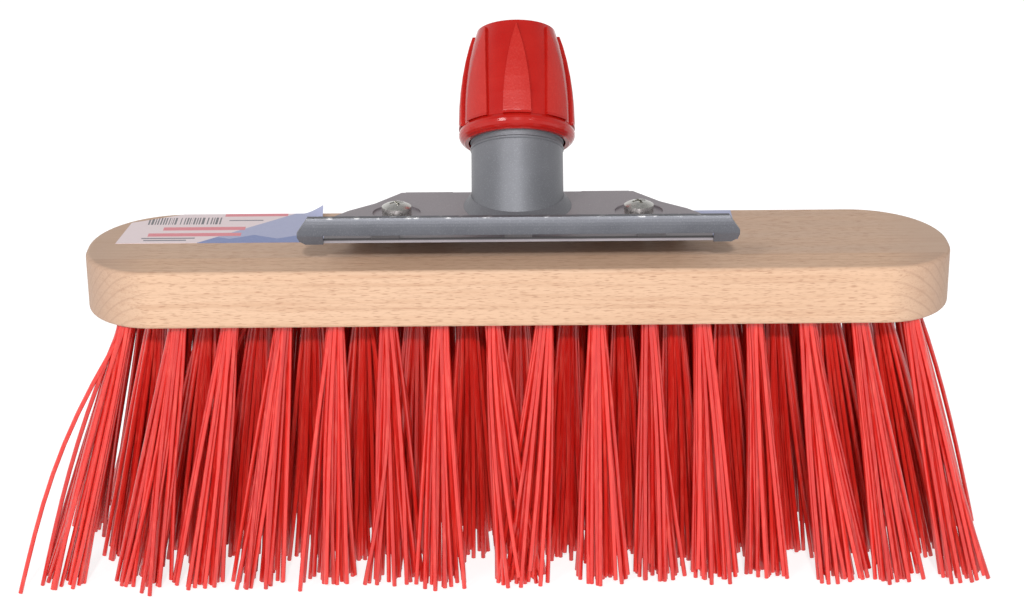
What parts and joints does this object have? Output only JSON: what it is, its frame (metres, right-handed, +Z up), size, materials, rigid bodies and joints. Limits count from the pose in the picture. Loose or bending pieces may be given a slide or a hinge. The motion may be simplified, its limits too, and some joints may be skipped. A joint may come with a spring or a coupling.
{
  "type": "push broom head",
  "caption": "Wooden push broom head with rows of stiff plastic bristles, a pressed steel bracket with a scraper strip, and a leaning tube socket whose screw clamp grips a round handle.",
  "frame": {"origin": "middle of the outline seen from above, on the plane of the bristle tips", "axes": "+X along the block, +Y toward the person sweeping (the way the handle leans), +Z up; the scraper strip is on the -Y side"},
  "size_m": [0.35, 0.0994, 0.2008],
  "materials": {
    "beech": "fine sanded, unvarnished, with short dark flecks along the grain",
    "bristle": "extruded stiff filament, satin",
    "anchor_steel": "plain flat wire",
    "bracket_paint": "silver-grey metallic paint with bare bright edges",
    "screw_zinc": "zinc plated",
    "weld_paint": "rippled weld bead under silver-grey paint",
    "tube_paint": "silver-grey metallic paint",
    "collet_plastic": "moulded, satin",
    "nut_plastic": "moulded, fine satin petals and a smooth collar",
    "label_paper": "coated paper, plain fields without lettering"
  },
  "bodies": {
    "head": {"beech_block": "beech", "tuft_row_1": "bristle", "tuft_row_2": "bristle", "tuft_row_3": "bristle", "tuft_row_4": "bristle", "anchor_row_1": "anchor_steel", "anchor_row_2": "anchor_steel", "anchor_row_3": "anchor_steel", "anchor_row_4": "anchor_steel", "bracket_plate": "bracket_paint", "scraper_strip": "bracket_paint", "strip_welds": "weld_paint", "wood_screws": "screw_zinc", "weld_bead": "weld_paint", "socket_tube": "tube_paint", "label": "label_paper"},
    "collet": {"clamp_collet": "collet_plastic"},
    "nut": {"clamp_nut": "nut_plastic"}
  },
  "joints": [
    {"name": "collet_slide", "type": "slide", "parent": "head", "child": "collet", "axis": [0, 0.5807, 0.8141], "range_m": [0, 0.006]},
    {"name": "nut_turn", "type": "hinge", "parent": "collet", "child": "nut", "pos_m": [0, 0.02542, 0.17582], "axis": [0, 0.5807, 0.8141], "range_deg": [0, 720]}
  ],
  "couplings": [
    {"joint": "collet_slide", "follows": "nut_turn", "m_per_rad": 0.00047746}
  ]
}
